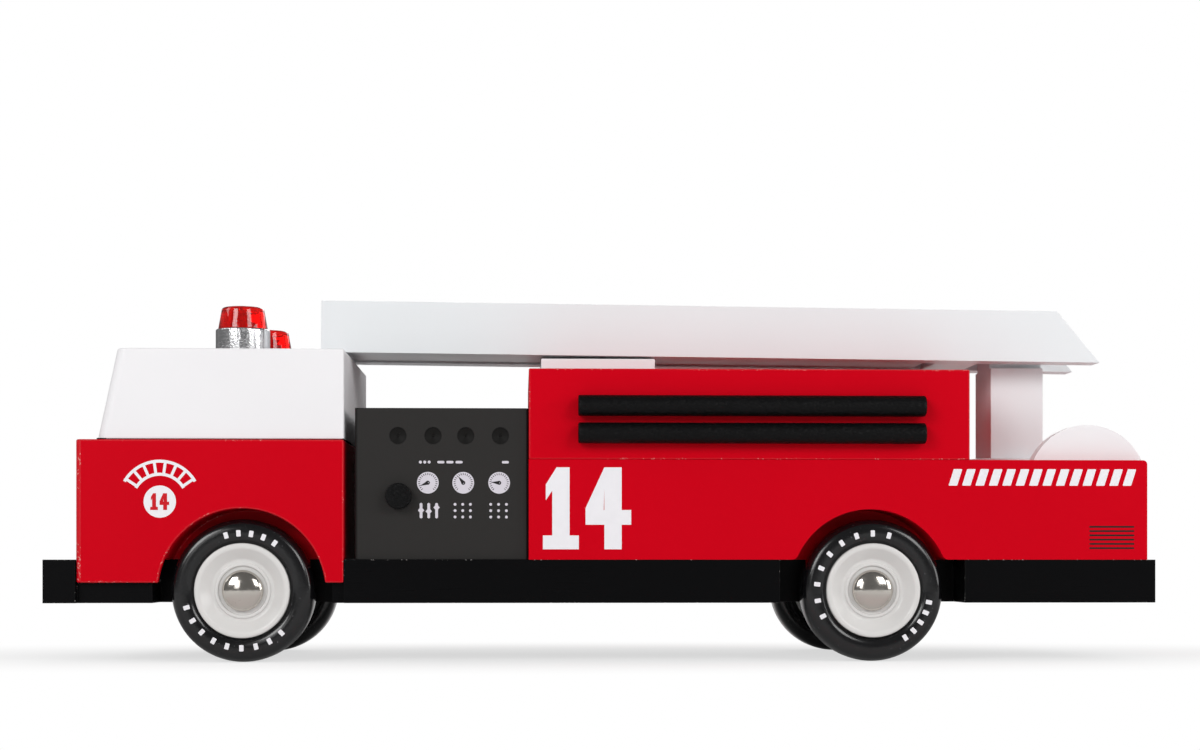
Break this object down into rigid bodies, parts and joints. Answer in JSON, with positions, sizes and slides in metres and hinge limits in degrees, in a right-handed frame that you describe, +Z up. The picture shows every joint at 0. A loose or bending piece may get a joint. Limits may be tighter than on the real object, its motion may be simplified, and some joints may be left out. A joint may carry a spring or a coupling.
{
  "type": "toy ladder fire truck",
  "caption": "Solid wood toy ladder fire truck: painted blocks on a plank, turning wheels and a white ladder that swivels, lifts and extends.",
  "frame": {"origin": "on the floor, under the middle of the truck's box", "axes": "+X to the truck's rear, so the front is -X; +Y to its right side; +Z up"},
  "size_m": [0.3344, 0.1066, 0.1113],
  "materials": {
    "black_paint": "black painted wood, satin",
    "red_paint": "red painted wood, satin",
    "white_paint": "white painted wood, satin",
    "panel_paint": "dark grey painted wood, matt",
    "rubber": "glossy black rubber",
    "rim_white": "white moulded plastic",
    "cap_chrome": "bright plated steel",
    "axle_steel": "plain steel rod",
    "beacon_chrome": "bright plated plastic",
    "lens_red": "clear red plastic",
    "screen_black": "glossy black",
    "hose_black": "black crinkle coating",
    "lamp_white": "white glossy button"
  },
  "bodies": {
    "truck": {"chassis": "black_paint", "axle_front": "axle_steel", "axle_rear": "axle_steel", "cab_body": "red_paint", "cab_roof": "white_paint", "windscreen": "screen_black", "grille": "screen_black", "headlight_left": "lamp_white", "headlight_right": "lamp_white", "pump_panel": "panel_paint", "pump_knob_left": "hose_black", "pump_knob_right": "hose_black", "body_lower": "red_paint", "body_upper": "red_paint", "ladder_rest": "white_paint", "cap_front_left": "cap_chrome", "cap_front_right": "cap_chrome", "cap_rear_left": "cap_chrome", "cap_rear_right": "cap_chrome", "beacon_base_left": "beacon_chrome", "beacon_lens_left": "lens_red", "hose_upper_left": "hose_black", "hose_lower_left": "hose_black", "deck_guard_left": "white_paint", "beacon_base_right": "beacon_chrome", "beacon_lens_right": "lens_red", "hose_upper_right": "hose_black", "hose_lower_right": "hose_black", "deck_guard_right": "white_paint"},
    "wheel_front_left": {"tyre_front_left": "rubber", "rim_front_left": "rim_white"},
    "wheel_front_right": {"tyre_front_right": "rubber", "rim_front_right": "rim_white"},
    "wheel_rear_left": {"tyre_rear_left": "rubber", "rim_rear_left": "rim_white"},
    "wheel_rear_right": {"tyre_rear_right": "rubber", "rim_rear_right": "rim_white"},
    "turret": {"turntable": "white_paint", "mast": "white_paint", "pivot_pin": "axle_steel"},
    "ladder": {"rail_left": "white_paint", "rail_right": "white_paint", "ladder_block": "white_paint"},
    "fly": {"ladder_fly": "white_paint"}
  },
  "joints": [
    {"name": "wheel_front_left_spin", "type": "hinge", "parent": "truck", "child": "wheel_front_left", "pos_m": [-0.1083, -0.04, 0.0215], "axis": [0, 1, 0], "continuous": true},
    {"name": "wheel_front_right_spin", "type": "hinge", "parent": "truck", "child": "wheel_front_right", "pos_m": [-0.1083, 0.04, 0.0215], "axis": [0, 1, 0], "continuous": true},
    {"name": "wheel_rear_left_spin", "type": "hinge", "parent": "truck", "child": "wheel_rear_left", "pos_m": [0.0815, -0.04, 0.0215], "axis": [0, 1, 0], "continuous": true},
    {"name": "wheel_rear_right_spin", "type": "hinge", "parent": "truck", "child": "wheel_rear_right", "pos_m": [0.0815, 0.04, 0.0215], "axis": [0, 1, 0], "continuous": true},
    {"name": "mast_swivel", "type": "hinge", "parent": "truck", "child": "turret", "pos_m": [0.1331, 0, 0.061], "axis": [0, 0, 1], "continuous": true},
    {"name": "ladder_lift", "type": "hinge", "parent": "turret", "child": "ladder", "pos_m": [0.1331, 0, 0.1005], "axis": [0, 1, 0], "range_deg": [0, 60]},
    {"name": "ladder_extend", "type": "slide", "parent": "ladder", "child": "fly", "axis": [-0.9999, 0, 0.0105], "range_m": [0, 0.11]}
  ]
}
